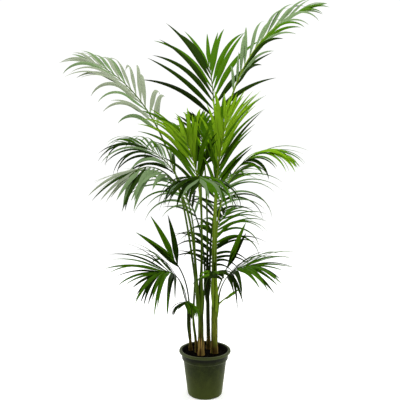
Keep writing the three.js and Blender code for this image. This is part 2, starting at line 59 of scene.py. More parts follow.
# A frond comes out of its stem's top, or out of a side (degrees round it) at the height of its leaves. Its run
# leans, bends on (late with a high bow), and may swing or roll. Leaflets stand off the rib by splay and rise
# (lop scales each side's splay) and droop past their straight share. For the looks alone, finer gives more of
# them, slim and base scale their width and its least at the rib, a high taper narrows them late, unruly turns
# them, and tints are those of the left side, seen from the stem, of the right side and of strays.
# Each frond's tints stand for how the light falls on it: bright for painted backlight, pale and grey for
# painted reflection, deep and dark for painted shade.
FROND_DEFAULTS = dict(
    side=None, leaves=None, swing=0, bow=2, roll=0,
    splay=(50, 14), lop=(1, 1), rise=10, droop=40, straight=0.22, root=0.12, first_share=0.62, last_share=0.4,
    finer=1, slim=1, base=0, taper=2.2, unruly=1.4, tints=("mid", "mid", "deep"),
)
FROND_SIZES = {
    "top_right": dict(
        stem="right", radius=7, stalk=880, blade=540,
        azimuth=4, lean=0.4, bend=74, bow=2.9, roll=28,
        pairs=11, leaf=270, width=28, splay=(34, 10), droop=76, straight=0.4, last_share=0.3, finer=1.2,
        tints=("pale", "mid", "pale"),
    ),
    "top_centre": dict(
        stem="right", side=110, leaves=500, radius=6, stalk=790, blade=310,
        azimuth=70, swing=36, lean=4.6, bend=32, bow=2.2,
        pairs=7, leaf=420, width=30, splay=(42, 8), rise=8, droop=36, first_share=0.95, last_share=0.45,
        finer=1.15, tints=("deep", "mid", "mid"),
    ),
    "top_left": dict(
        stem="middle", side=165, leaves=475, radius=6, stalk=770, blade=480,
        azimuth=172, lean=7.5, bend=63, bow=2.5, roll=-22,
        pairs=11, leaf=305, width=26, splay=(40, 12), lop=(1, 1.35), rise=2, droop=80, straight=0.4,
        first_share=0.8, last_share=0.28, finer=1.3, slim=1.15, tints=("grey", "grey", "pale"),
    ),
    "fan_right": dict(
        stem="right", side=240, leaves=495, radius=6.5, stalk=460, blade=400,
        azimuth=285, lean=0, bend=46, bow=1.9,
        pairs=9, leaf=310, width=26, splay=(36, 10), lop=(1, 0.4), rise=16, droop=30, finer=1.9, slim=0.8,
        tints=("bright", "bright", "mid"),
    ),
    "fan_left": dict(
        stem="middle", radius=6, stalk=470, blade=330,
        azimuth=250, lean=-7, bend=70, bow=1.9,
        pairs=9, leaf=340, width=27, splay=(40, 8), lop=(0.45, 1), rise=14, droop=46, straight=0.4,
        finer=1.9, slim=0.8, tints=("bright", "bright", "mid"),
    ),
    "front_middle": dict(
        stem="middle", side=290, leaves=470, radius=6, stalk=560, blade=200,
        azimuth=268, lean=-4, bend=118, bow=2.6,
        pairs=9, leaf=250, width=32, splay=(84, 24), rise=-14, droop=92, straight=0.3,
        finer=1.6, slim=1.08, unruly=2.2, tints=("mid", "deep", "pale"),
    ),
    "grey_left": dict(
        stem="middle", side=232, leaves=440, radius=7.5, stalk=630, blade=265,
        azimuth=228, lean=5.5, bend=124, bow=3, roll=-12,
        pairs=6, leaf=290, width=34, splay=(42, 20), rise=-36, droop=34, finer=1.7, slim=0.86, unruly=2,
        tints=("pale", "grey", "deep"),
    ),
    "dark_left": dict(
        stem="small", radius=4.8, stalk=670, blade=280,
        azimuth=170, lean=-3, bend=90, bow=2.7, roll=-20,
        pairs=11, leaf=290, width=24, splay=(46, 14), rise=2, droop=104, straight=0.25, first_share=0.8,
        finer=1.5, slim=0.72, tints=("deep", "mid", "pale"),
    ),
    "right_middle": dict(
        stem="right", side=300, leaves=470, radius=6, stalk=500, blade=340,
        azimuth=328, lean=-1.5, bend=104, bow=2.8, roll=14,
        pairs=8, leaf=275, width=28, splay=(38, 12), lop=(1.2, 0.4), rise=2, droop=90, straight=0.15,
        finer=1.6, tints=("mid", "bright", "mid"),
    ),
    "inner_back": dict(
        stem="back", radius=5, stalk=500, blade=250,
        azimuth=104, lean=-1, bend=44,
        pairs=8, leaf=180, width=24, splay=(50, 12), rise=30, finer=1.7, tints=("deep", "mid", "bright"),
    ),
    "back_high": dict(
        stem="back", side=350, leaves=530, radius=5, stalk=300, blade=320,
        azimuth=66, lean=2, bend=88,
        pairs=11, leaf=335, width=20, splay=(62, 24), rise=2, droop=90,
        finer=1.4, slim=0.95, base=0.4, taper=0.9, unruly=3.2, tints=("deep", "mid", "pale"),
    ),
    "back_low": dict(
        stem="back", side=80, leaves=470, radius=5, stalk=110, blade=360,
        azimuth=66, lean=6, bend=72, bow=1.6,
        pairs=13, leaf=285, width=20, splay=(64, 26), rise=2, droop=90, first_share=0.5,
        finer=1.5, base=0.4, taper=0.9, unruly=3.2, tints=("deep", "mid", "mid"),
    ),
    "low_left": dict(
        stem="left", side=200, leaves=325, radius=4, stalk=238, blade=150,
        azimuth=215, lean=1.5, bend=116, bow=2.3, roll=-24,
        pairs=8, leaf=305, width=25, splay=(74, 16), rise=4, droop=56, root=0.3, first_share=0.95,
        finer=1.9, slim=0.86,
    ),
    "low_left_upper": dict(
        stem="left", radius=4, stalk=255, blade=50,
        azimuth=172, lean=0, bend=41, bow=1.8, roll=-80,
        pairs=2, leaf=238, width=34, splay=(32, 6), lop=(0.8, 1), rise=4, droop=12, last_share=0.95,
        slim=0.95,
    ),
    "low_right": dict(
        stem="right", side=8, leaves=430, radius=4.5, stalk=138, blade=170,
        azimuth=334, lean=4, bend=90, bow=1.3, roll=14,
        pairs=8, leaf=305, width=25, splay=(70, 14), rise=-6, droop=42, root=0.3, first_share=0.9,
        finer=1.7, slim=0.86,
    ),
    "low_right_upper": dict(
        stem="right", side=90, leaves=450, radius=4, stalk=140, blade=40,
        azimuth=10, lean=19, bend=8, bow=1.5, roll=-60,
        pairs=1, leaf=220, width=32, splay=(6, 6), droop=6, last_share=0.95, slim=1.2,
    ),
    "low_tuft": dict(
        stem="small", side=250, leaves=335, radius=3, stalk=128, blade=70,
        azimuth=250, lean=6, bend=100,
        pairs=4, leaf=118, width=22, splay=(84, 40), rise=-24, droop=84, root=0.3, first_share=0.9, finer=2.6,
        tints=("mid", "deep", "dark"),
    ),
    "new_leaf": dict(
        stem="right", side=336, leaves=424, radius=3, stalk=30, blade=40,
        azimuth=350, lean=36, bend=26, bow=1.2, roll=-60,
        pairs=1, leaf=84, width=18, splay=(6, 6), rise=0, droop=10, last_share=0.95,
        tints=("mid", "mid", "mid"),
    ),
    "back_left": dict(
        stem="back", side=170, leaves=500, radius=5, stalk=330, blade=330,
        azimuth=140, lean=2, bend=92,
        pairs=7, leaf=290, width=20, splay=(60, 22), rise=2, droop=90,
        finer=1.6, base=0.5, taper=1, unruly=3.2, tints=("mid", "deep", "pale"),
    ),
    "low_centre": dict(
        stem="middle", side=345, leaves=455, radius=3.5, stalk=125, blade=60,
        azimuth=305, lean=5, bend=64, bow=1.6,
        pairs=3, leaf=118, width=32, splay=(98, 20), rise=6, droop=74, root=0.3, first_share=0.9,
        last_share=0.7, finer=1.7, tints=("deep", "mid", "deep"),
    ),
}
FRONDS = {name: FROND_DEFAULTS | sizes for name, sizes in FROND_SIZES.items()}
POT_SIDES = 144
POT_FOOT = 80  # the pot's radius where its wall would meet the ground
POT_WALL = 2.4
POT_WALL_TOP = (101, 170)  # the radius and height where the collar steps out
FOOT_ROUND = 12
RUN_STEPS = 60
SEAT_SHARE = 0.6  # how much of its radius a stalk stands off its stem
FOOT_SHARE, FOOT_RADIUS = 0.55, 0.8  # the rib's radius at the blade's foot: a share of the stalk's, and more
TAPER_BIAS = 0.8
TIP_RADIUS = 1.2
LEAFY_SHARE = 0.985
LONGEST_AT = 0.4
SPLAY_BIAS = 1.2
TURN, RISE_TURN, LENGTH_NOISE, DROOP_NOISE = 10, 12, 0.16, 0.7
STEEPEST = 92  # how far past its own slope a leaflet may hang, in degrees
LEAST_DROOP = 0.1
SWELL, TAPER_BLUNT = 3, 0.9
NARROWEST = 0.7

# ---- What the looks add to the rule ----
FINER_WIDTH = 0.94  # how much narrower a leaflet is than its solid
LEAFLET_RINGS = 16
TIP_WIDTH = 0.03  # the tip's width as a share of the widest, so that the sweep closes on it
TWIST = 24  # the most that a leaflet turns about its midrib, in degrees
STALK_RINGS = 90
UPPER_FRONDS = 7  # how many fronds of the table go into the first piece
SHEATH_SWELL = 0.55  # how much wider a stalk is where it clasps its stem
SHEATH_LENGTH = 55
SHEATH_DROP = 95  # how far a side stalk's sheath runs down its stem
SHEATH_RINGS = 20
SHEATH_SUNK, SHEATH_START = -1.1, 0.6  # how deep it starts in the stem and how wide, in the stalk's radii

STRAY_SHARE = 0.28
HUB_SHADE_SHARE = 0.3  # how far up the blade the leaflets take a tint darker: painted shade about the crowded hub
HUB_SHADE_TINTS = {"bright": "mid", "pale": "pale", "grey": "grey", "mid": "deep", "deep": "dark", "dark": "dark"}


# ---- Small helpers ----
def linear(hex_colour):
    """An sRGB hex colour as linear red, green, blue and alpha."""
    shares = [((hex_colour >> shift) & 255) / 255 for shift in (16, 8, 0)]
    return (*[c / 12.92 if c <= 0.04045 else ((c + 0.055) / 1.055) ** 2.4 for c in shares], 1)


def lerp(a, b, share):
    return a + (b - a) * share


def clamp(value, low, high):
    return max(low, min(high, value))


def smooth_step(value):
    value = clamp(value, 0, 1)
    return value * value * (3 - 2 * value)


def hash_noise(seed, *keys):
    """The source's repeatable number from 0 to 1, by whole-number arithmetic on 32 bits."""
    word = 0xFFFFFFFF
    value = (seed * 374761393) & word
    for key in keys:
        value = ((value ^ ((key + 0x9E3779B9) & word)) * 668265263) & word
        value ^= value >> 15
    value = (value * 2246822519) & word
    value ^= value >> 13
    return value / 2**32


def feed(tree, node, inputs):
    """Gives a node's inputs, by name or number, a value or a link from a socket."""
    for key, value in inputs.items():
        if isinstance(value, bpy.types.NodeSocket):
            tree.links.new(value, node.inputs[key])
        else:
            node.inputs[key].default_value = value


def add(tree, kind, inputs=None, **settings):
    """Adds a node with its settings and inputs."""
    node = tree.nodes.new(kind)
    for name, value in settings.items():
        setattr(node, name, value)
    feed(tree, node, inputs or {})
    return node


def new_object(name, points, edges=(), faces=()):
    """A mesh object from points in metres."""
    mesh = bpy.data.meshes.new(name)
    mesh.from_pydata([tuple(point) for point in points], list(edges), list(faces))
    piece = bpy.data.objects.new(name, mesh)
    bpy.context.scene.collection.objects.link(piece)
    return piece


def face_out(mesh):
    """Turns a closed mesh's faces outwards."""
    corners = [mesh.vertices[i].co for triangle in mesh.loop_triangles for i in triangle.vertices]
    corners = np.array(corners).reshape(-1, 3, 3)
    if np.einsum("ij,ij->i", corners[:, 0], np.cross(corners[:, 1], corners[:, 2])).sum() < 0:
        mesh.flip_normals()


def finish_piece(piece, nodes=(), crease=40):
    """Shades a finished piece, hands it to its body and hides the solids that it stands for."""
    piece.data.shade_smooth()
    piece.data.set_sharp_from_angle(angle=math.radians(crease))
    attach(piece, BODY)
    if nodes:
        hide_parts(*nodes)


def node_tree(name, **sizes):
    """A Geometry Nodes tree with a geometry input, and a named input for each size with its kind."""
    tree = bpy.data.node_groups.new(name, "GeometryNodeTree")
    tree.interface.new_socket("Geometry", in_out="OUTPUT", socket_type="NodeSocketGeometry")
    tree.interface.new_socket("Geometry", in_out="INPUT", socket_type="NodeSocketGeometry")
    for label, kind in sizes.items():
        tree.interface.new_socket(label, in_out="INPUT", socket_type=f"NodeSocket{kind}")
    return tree, add(tree, "NodeGroupInput").outputs


def grow(guide, tree, **values):
    """Runs a tree on a guide object with the named inputs and leaves a plain mesh in its place."""
    modifier = guide.modifiers.new(tree.name, "NODES")
    modifier.node_group = tree
    identifiers = {item.name: item.identifier for item in tree.interface.items_tree if item.in_out == "INPUT"}
    for label, value in values.items():
        modifier[identifiers[label]] = value
    evaluated = guide.evaluated_get(bpy.context.evaluated_depsgraph_get())
    mesh = bpy.data.meshes.new_from_object(evaluated)
    guide.modifiers.remove(modifier)
    guide.data = mesh
    mesh.name = guide.name
    mesh.calc_loop_triangles()
    face_out(mesh)
    return guide


# ---- The crown's rule, as the solids follow it ----
def stem_share(stem, z):
    return (z - SOIL_TOP) / (stem["top"][2] - SOIL_TOP)


def stem_centre(stem, z):
    return Vector((*stem["foot"], SOIL_TOP)).lerp(Vector(stem["top"]), stem_share(stem, z))


def stem_radius(stem, z):
    taper = lerp(stem["foot_radius"], stem["top_radius"], clamp(stem_share(stem, z), 0, 1))
    return taper + STEM_FLARE * math.exp(-max(0, z - SOIL_TOP) / STEM_FLARE_HEIGHT)


def headings(frond, share):
    """The way that a run heads at a share of its length, and its upper side."""
    lean = math.radians(frond["lean"] + frond["bend"] * share ** frond["bow"])
    azimuth = math.radians(frond["azimuth"] + frond["swing"] * share)
    ahead, aside = math.cos(azimuth), math.sin(azimuth)
    along = Vector((math.sin(lean) * ahead, math.sin(lean) * aside, math.cos(lean)))
    above = Vector((-math.cos(lean) * ahead, -math.cos(lean) * aside, math.sin(lean)))
    above.rotate(Quaternion(along, math.radians(frond["roll"])))
    return along, above


def frond_run(frond):
    """Points, directions and upper sides at equal steps from the stem to the frond's tip."""
    stem = STEMS[frond["stem"]]
    at_top = frond["side"] is None
    start = stem_centre(stem, stem["top"][2] if at_top else frond["leaves"])
    if not at_top:
        reach = stem_radius(stem, frond["leaves"]) + SEAT_SHARE * frond["radius"]
        side = math.radians(frond["side"])
        start += Vector((reach * math.cos(side), reach * math.sin(side), 0))
    step = (frond["stalk"] + frond["blade"]) / RUN_STEPS
    run = [(start, *headings(frond, 0))]
    for i in range(1, RUN_STEPS + 1):
        middle, _ = headings(frond, (i - 0.5) / RUN_STEPS)
        run.append((run[-1][0] + middle * step, *headings(frond, i / RUN_STEPS)))
    return run


def run_at(frond, run, distance):
    """The point, direction and upper side at a distance from the stem."""
    step = clamp(distance / (frond["stalk"] + frond["blade"]) * RUN_STEPS, 0, RUN_STEPS)
    before = min(int(step), RUN_STEPS - 1)
    point, along, above = (a.lerp(b, step - before) for a, b in zip(run[before], run[before + 1]))
    return point, along.normalized(), above.normalized()


def run_radius(frond, distance):
    foot = FOOT_SHARE * frond["radius"] + FOOT_RADIUS
    if distance < frond["stalk"]:
        return lerp(frond["radius"], foot, (distance / frond["stalk"]) ** TAPER_BIAS)
    return lerp(foot, TIP_RADIUS, (distance - frond["stalk"]) / frond["blade"])


def leaflet_share(frond, share):
    """A leaflet's length as a share of the longest, at its share of the way up the blade."""
    if share < LONGEST_AT:
        return lerp(frond["first_share"], 1, math.sin(math.pi / 2 * share / LONGEST_AT))
    return lerp(frond["last_share"], 1, math.cos(math.pi / 2 * (share - LONGEST_AT) / (1 - LONGEST_AT)))


def leaflet_guides(frond, seed, run, pairs):
    """Each leaflet's root, heading, length, width and droop, its side of the rib, and whether it strays."""
    guides = []
    for pair in range(pairs):
        for side in (-1, 1):
            turn, rise, length, droop = (hash_noise(seed, pair, side + 1, key) - 0.5 for key in range(4))
            share = (pair + (0.25 if side < 0 else 0.75)) / pairs
            root, along, above = run_at(frond, run, frond["stalk"] + frond["blade"] * share * LEAFY_SHARE)
            spread = lerp(*frond["splay"], share**SPLAY_BIAS) * frond["lop"][side > 0]
            splay = math.radians(spread + TURN * frond["unruly"] * turn)
            lift = math.radians(frond["rise"] + RISE_TURN * frond["unruly"] * rise)
            outward = along.cross(above) * side * math.cos(lift) + above * math.sin(lift)
            heading = (along * math.cos(splay) + outward * math.sin(splay)).normalized()
            length_share = leaflet_share(frond, share) * (1 + LENGTH_NOISE * length)
            slope = math.asin(clamp(heading.z, -1, 1))
            bend = math.radians(frond["droop"]) * (1 + DROOP_NOISE * droop) * length_share
            guides.append(dict(
                root=root, heading=heading, above=above, slope=slope, side=side,
                droop=min(bend, max(LEAST_DROOP, slope + math.radians(STEEPEST))),
                length=frond["leaf"] * length_share,
                width=frond["width"] * lerp(NARROWEST, 1, length_share),
                straight=frond["straight"], slim=frond["slim"], taper=frond["taper"],
                narrow_root=max(frond["root"], frond["base"]),
                stray=hash_noise(seed, pair, side + 1, 4) < STRAY_SHARE,
            ))
    return guides


def leaflet_width(guide, share):
    """A leaflet's width as a share of its widest."""
    return min(1, guide["narrow_root"] + SWELL * share) * (1 - share ** guide["taper"]) ** TAPER_BLUNT


def leaflet_at(guide, share):
    """The point on a leaflet's midrib at a share of its length, and the slope and level heading there."""
    slope, level = guide["slope"], Vector((*guide["heading"].xy, 0)).normalized()
    straight = min(share, guide["straight"])
    curved = share - straight
    rate = guide["droop"] / (1 - guide["straight"])
    end = slope - rate * curved
    ahead = straight * math.cos(slope) + (math.sin(slope) - math.sin(end)) / rate
    rise = straight * math.sin(slope) + (math.cos(end) - math.cos(slope)) / rate
    point = guide["root"] + (level * ahead + Vector((0, 0, rise))) * guide["length"]
    return point, end, level


# ---- Leaflets, ribs and stalks ----
def guide_lines(name, lines):
    """A mesh of open lines. Each line is a list of (point in mm, cross direction, radius in mm, tint)."""
    points, edges, across, radii, tints = [], [], [], [], []
    for line in lines:
        edges += [(len(points) + i, len(points) + i + 1) for i in range(len(line) - 1)]
        for point, direction, radius, tint in line:
            points.append(point * MM)
            across.append(direction)
            radii.append(radius * MM)
            tints.append(tint)
    guide = new_object(name, points, edges)
    attributes = guide.data.attributes
    attributes.new("across", "FLOAT_VECTOR", "POINT").data.foreach_set("vector", np.ravel(across))
    attributes.new("radius_m", "FLOAT", "POINT").data.foreach_set("value", radii)
    attributes.new("tint", "INT", "POINT").data.foreach_set("value", tints)
    return guide


def leaflet_line(guide, tint, twist):
    """A leaflet's midrib from its rib to its tip, with the way its blade spreads and its half width."""
    across = guide["heading"].cross(guide["above"]).normalized()
    line = []
    for i in range(LEAFLET_RINGS + 1):
        share = i / LEAFLET_RINGS
        point, slope, level = leaflet_at(guide, share)
        turned = across.copy()
        turned.rotate(Quaternion(Vector((0, 0, 1)).cross(level), guide["slope"] - slope))
        ahead = level * math.cos(slope) + Vector((0, 0, math.sin(slope)))
        turned.rotate(Quaternion(ahead, twist * share))
        half = guide["width"] / 2 * FINER_WIDTH * guide["slim"] * max(leaflet_width(guide, share), TIP_WIDTH)
        line.append((point, turned, half, tint))
    return line


def swept_tree(name, reshape, **sizes):
    """A tree that sweeps a reshaped circle along each line, turned and scaled by the line's attributes."""
    tree, given = node_tree(name, Sides="Int", **sizes)
    across = add(tree, "GeometryNodeInputNamedAttribute", {"Name": "across"}, data_type="FLOAT_VECTOR")
    radius = add(tree, "GeometryNodeInputNamedAttribute", {"Name": "radius_m"}, data_type="FLOAT")
    lines = add(tree, "GeometryNodeMeshToCurve", {"Mesh": given["Geometry"]}).outputs[0]
    aimed = add(tree, "GeometryNodeSetCurveNormal", {"Curve": lines, "Normal": across.outputs[0]}, mode="FREE")
    circle = add(tree, "GeometryNodeCurvePrimitiveCircle", {"Resolution": given["Sides"], "Radius": 1})
    place = add(tree, "ShaderNodeSeparateXYZ", {0: add(tree, "GeometryNodeInputPosition").outputs[0]})
    marked = add(
        tree, "GeometryNodeStoreNamedAttribute",
        {"Geometry": circle.outputs[0], "Name": "under", "Value": place.outputs["Y"]},
        data_type="FLOAT", domain="POINT",
    ).outputs[0]
    height = reshape(tree, given, place.outputs)
    shaped = add(tree, "ShaderNodeCombineXYZ", {"X": place.outputs["X"], "Y": height}).outputs[0]
    section = add(tree, "GeometryNodeSetPosition", {"Geometry": marked, "Position": shaped})
    swept = add(
        tree, "GeometryNodeCurveToMesh",
        {"Curve": aimed.outputs[0], "Profile Curve": section.outputs[0], "Scale": radius.outputs[0],
         "Fill Caps": True},
    )
    return tree, add(tree, "GeometryNodeRealizeInstances", {"Geometry": swept.outputs[0]}).outputs[0]


def maths(tree, operation, *values):
    return add(tree, "ShaderNodeMath", dict(enumerate(values)), operation=operation).outputs[0]


def folded_section(tree, given, place):
    """A blade's section: a roof over the midrib, a hair thick, with its pleats beside the midrib."""
    out = maths(tree, "ABSOLUTE", place["X"])
    roof = maths(tree, "MULTIPLY", out, given["Fold"])
    wave = maths(tree, "SINE", maths(tree, "MULTIPLY", out, math.tau))
    pleat = maths(tree, "MULTIPLY", wave, given["Pleat"])
    under = maths(tree, "GREATER_THAN", place["Y"], 0.01)
    body = maths(tree, "MULTIPLY", maths(tree, "SUBTRACT", 1, out), given["Thickness"])
    return maths(tree, "ADD", maths(tree, "SUBTRACT", roof, pleat), maths(tree, "MULTIPLY", under, body))


def hollow_section(tree, given, place):
    """A stalk's section: round below, and flat to slightly hollow above."""
    return maths(tree, "MAXIMUM", place["Y"], maths(tree, "MULTIPLY", given["Flat"], -1))


def skinned(tree, geometry, mark, skins, lower_skins=()):
    """Ends a tree: each part gets the material of its mark, and another on the lower side if one is given."""
    marks = add(tree, "GeometryNodeInputNamedAttribute", {"Name": mark}, data_type="INT").outputs[0]
    if lower_skins:
        under = add(tree, "GeometryNodeInputNamedAttribute", {"Name": "under"}, data_type="FLOAT").outputs[0]
        below = add(tree, "FunctionNodeCompare", {0: under, 1: 0.0}, operation="GREATER_THAN").outputs[0]
    for number, skin in enumerate(skins):
        match = add(tree, "FunctionNodeCompare", {2: marks, 3: number}, data_type="INT", operation="EQUAL")
        here = match.outputs[0]
        parts = [(here, skin)]
        if lower_skins:
            beneath = add(tree, "FunctionNodeBooleanMath", {0: here, 1: below}, operation="AND").outputs[0]
            parts.append((beneath, lower_skins[number]))
        for part, material in parts:
            inputs = {"Geometry": geometry, "Selection": part, "Material": material}
            geometry = add(tree, "GeometryNodeSetMaterial", inputs).outputs[0]
    add(tree, "NodeGroupOutput", {0: geometry})
    return tree


def blade_tree(skins, lower_skins):
    """Sweeps each line into a folded leaflet, with its tint's materials above and below."""
    sizes = dict.fromkeys(("Fold", "Pleat", "Thickness"), "Float")
    tree, geometry = swept_tree("folded_leaflets", folded_section, **sizes)
    return skinned(tree, geometry, "tint", skins, lower_skins)


def stalk_tree(skins):
    """Sweeps each line into a stalk or rib, with its tint's material."""
    tree, geometry = swept_tree("stalks_and_ribs", hollow_section, Flat="Float")
    return skinned(tree, geometry, "tint", skins)


def sheath_line(frond, run, tint):
    """The sheath of a side stalk, which comes out of its stem below the stalk and widens up to it."""
    stem, side = STEMS[frond["stem"]], math.radians(frond["side"])
    _, along, above = run[0]
    across = along.cross(above).normalized()
    line = []
    for i in range(SHEATH_RINGS):
        share = i / SHEATH_RINGS
        height = frond["leaves"] - SHEATH_DROP * (1 - share)
        proud = lerp(SHEATH_SUNK, SEAT_SHARE, math.sin(math.pi / 2 * share))
        out = stem_radius(stem, height) + frond["radius"] * proud
        point = stem_centre(stem, height) + Vector((math.cos(side), math.sin(side), 0)) * out
        line.append((point, across, frond["radius"] * lerp(SHEATH_START, 1 + SHEATH_SWELL, share), tint))
    return line


def stalk_line(frond, run, tint):
    """A frond's stalk and rib in one line, widened where it clasps its stem."""
    line = [] if frond["side"] is None else sheath_line(frond, run, tint)
    length = frond["stalk"] + frond["blade"]
    for i in range(STALK_RINGS + 1):
        distance = length * i / STALK_RINGS
        point, along, above = run_at(frond, run, distance)
        clasp = 1 + SHEATH_SWELL * math.exp(-((distance / SHEATH_LENGTH) ** 2))
        line.append((point, along.cross(above).normalized(), run_radius(frond, distance) * clasp, tint))
    return line


LEAF_GLOSS, PLAIN_GLOSS = 0.02, 0.05
LETS_THROUGH = 0.22  # the share of the light that goes through a leaf
UPPER_ROUGHNESS, LOWER_ROUGHNESS = 0.42, 0.6


def leaf_material(name, hex_colour, roughness, glow):
    """A leaf's plain colour that also lets some light through, in a fresher green."""
    material = bpy.data.materials.new(name)
    material.use_nodes = True
    tree = material.node_tree
    tree.nodes.clear()
    skin = add(
        tree, "ShaderNodeBsdfPrincipled",
        {"Base Color": linear(hex_colour), "Roughness": roughness, "Specular IOR Level": LEAF_GLOSS},
    )
    through = add(tree, "ShaderNodeBsdfTranslucent", {"Color": linear(glow)})
    mixed = add(tree, "ShaderNodeMixShader", {0: LETS_THROUGH, 1: skin.outputs[0], 2: through.outputs[0]})
    add(tree, "ShaderNodeOutputMaterial", {"Surface": mixed.outputs[0]})
    return material


# Howea leaflets: a waxy upper side, a paler, duller under side with fine scales, and the glow through both.
# The tints are lit and shaded copies of one leaf green: bright is painted light, as on leaflets lit from
# behind, pale and grey are painted glancing reflection, and deep and dark are painted shade.
TINTS = {
    "dark": (0x1A2A04, 0x203206, 0x305006),
    "deep": (0x263E04, 0x304A08, 0x486E06),
    "mid": (0x4A7606, 0x56820E, 0x82AA0C),
    "bright": (0x82B012, 0x8EBA22, 0xC4DC14),
    "pale": (0x7C9468, 0x8AA47C, 0x98B860),
    "grey": (0x98A28A, 0xA6AE9A, 0xB4C08C),
}
TINT_NUMBERS = {name: number for number, name in enumerate(TINTS)}
leaf_skins, leaf_under_skins = [], []
for name, (upper, lower, glow) in TINTS.items():
    leaf_skins.append(leaf_material(f"kentia leaflet {name}, upper side", upper, UPPER_ROUGHNESS, glow))
    leaf_under_skins.append(leaf_material(f"kentia leaflet {name}, under side", lower, LOWER_ROUGHNESS, glow))


def plain_material(name, hex_colour, roughness):
    material = bpy.data.materials.new(name)
    material.use_nodes = True
    tree, colour = material.node_tree, linear(hex_colour)
    looks = {"Base Color": colour, "Roughness": roughness, "Specular IOR Level": PLAIN_GLOSS}
    feed(tree, tree.nodes["Principled BSDF"], looks)
    return material


# Leaf stalks: smooth, yellow-green on the younger leaves and darker on the older ones, with painted shade on
# those at the back and low down.
STALK_TINTS = {"fresh": 0x6C861A, "dull": 0x465E0E, "dark": 0x26380A}
FRESH_STALKS = ("top_right", "fan_right", "fan_left", "new_leaf", "right_middle")
DARK_STALKS = ("back_high", "back_low", "back_left", "low_left", "low_left_upper", "low_right", "low_centre")
stalk_skins = [plain_material(f"kentia leaf stalk, {name}", tint, 0.5) for name, tint in STALK_TINTS.items()]

leaf_lines = {"upper": [], "lower": []}
stalk_lines = []
fronds_of = {"upper": [], "lower": []}
for seed, (name, frond) in enumerate(FRONDS.items(), 1):
    run = frond_run(frond)
    stalk_tint = 0 if name in FRESH_STALKS else 2 if name in DARK_STALKS else 1
    stalk_lines.append(stalk_line(frond, run, stalk_tint))
    pairs = round(frond["pairs"] * frond["finer"])
    part = "upper" if seed <= UPPER_FRONDS else "lower"
    fronds_of[part].append(f"{name}_frond")
    left, right, stray = frond["tints"]
    for number, guide in enumerate(leaflet_guides(frond, seed, run, pairs)):
        tint = stray if guide["stray"] else (left if guide["side"] < 0 else right)
        # Leaflets low on the blade take a darker tint: painted shade about the crowded hub.
        if number < 2 * pairs * HUB_SHADE_SHARE:
            tint = HUB_SHADE_TINTS[tint]
        twist = math.radians(TWIST) * (hash_noise(seed, number, 5) - 0.5) * 2
        leaf_lines[part].append(leaflet_line(guide, TINT_NUMBERS[tint], twist))

blades = blade_tree(leaf_skins, leaf_under_skins)
for part, lines in leaf_lines.items():
    guide = guide_lines(f"{part}_leaflets", lines)
    leaflets = grow(guide, blades, Sides=12, Fold=0.24, Pleat=0.03, Thickness=0.07)
    finish_piece(leaflets, fronds_of[part], crease=18)

stalks = grow(guide_lines("stalks_and_ribs", stalk_lines), stalk_tree(stalk_skins), Sides=14, Flat=0.35)
finish_piece(stalks, [f"{name}_stalk" for name in FRONDS])


# ---- Patterned skins ----
def patches(tree, scale, grain, low, high, stretch=(1, 1, 1)):
    """Soft patches as a share from 0 to 1: a noise of so many swells to the metre, cut between two levels."""
    place = add(tree, "ShaderNodeTexCoord").outputs["Object"]
    place = add(tree, "ShaderNodeMapping", {"Vector": place, "Scale": stretch}).outputs[0]
    cloud = add(tree, "ShaderNodeTexNoise", {"Vector": place, "Scale": scale, "Detail": grain}).outputs[0]
    return add(tree, "ShaderNodeMapRange", {0: cloud, 1: low, 2: high}).outputs[0]


def blend(tree, share, first, second):
    """Mixes two colours, each a hex number or a socket."""
    first, second = (linear(colour) if isinstance(colour, int) else colour for colour in (first, second))
    return add(tree, "ShaderNodeMix", {0: share, 6: first, 7: second}, data_type="RGBA").outputs[2]


def overlay(tree, share, strength, under, over):
    """Lays a colour over another by a pattern's share, at so much of its strength."""
    return blend(tree, maths(tree, "MULTIPLY", share, strength), under, over)


def height_band(tree, low, high):
    """A share that rises from 0 to 1 between two heights in millimetres."""
    place = add(tree, "ShaderNodeSeparateXYZ", {0: add(tree, "ShaderNodeTexCoord").outputs["Object"]})
    return add(tree, "ShaderNodeMapRange", {0: place.outputs["Z"], 1: low * MM, 2: high * MM}).outputs[0]


def patterned_material(name, roughness):
    material = plain_material(name, 0x808080, roughness)
    return material, material.node_tree, material.node_tree.nodes["Principled BSDF"]


# Nursery pot: moulded olive polypropylene, dull, with a grain drawn coarse enough to show, and a film of dust.
# Over it lie painted light low down, standing in for light bounced up from the floor, dust in patches and
# specks, painted shade under the rim and a painted highlight over the rim's top.
pot_skin, tree, skin = patterned_material("olive polypropylene pot", 0.5)
dust = {"Sheen Weight": 0.25, "Sheen Roughness": 0.35, "Sheen Tint": linear(0xC8D0A0)}
feed(tree, skin, {"Specular IOR Level": 0.08, **dust})
colour = blend(tree, patches(tree, 90, 6, 0.35, 0.8, stretch=(1, 1, 0.6)), 0x161C02, 0x222A04)
# Painted light: the pot grows lighter towards its foot, standing in for light bounced up from the white floor.
painted_floor_light = maths(tree, "SUBTRACT", 1, height_band(tree, -20, 150))
speckled = patches(tree, 420, 3, 0.52, 0.7)
# Painted shade: a near-black band on the collar under the rim's overhang.
painted_shade_under_rim = maths(tree, "SUBTRACT", height_band(tree, 176, 192), height_band(tree, 202, 205))
for share, strength, over in (
    (painted_floor_light, 0.75, 0x4A541C),
    (patches(tree, 35, 5, 0.45, 0.75), 0.3, 0x444E18),
    (speckled, 0.4, 0x4C5628),
    (painted_shade_under_rim, 0.85, 0x080A02),
    # Painted highlight: the rim's top and the lip above it are lighter, as where the light falls on them.
    (height_band(tree, 203, 208), 0.6, 0x4E5632),
):
    colour = overlay(tree, share, strength, colour, over)
grain = add(tree, "ShaderNodeBump", {"Height": speckled, "Strength": 0.25, "Distance": 0.0004})
feed(tree, skin, {"Base Color": colour, "Normal": grain.outputs[0]})
# The pot's inner wall, near black: painted shade down inside the pot.
painted_shade_inside_skin = plain_material("olive polypropylene pot, painted shade inside", 0x0A0A05, 0.8)


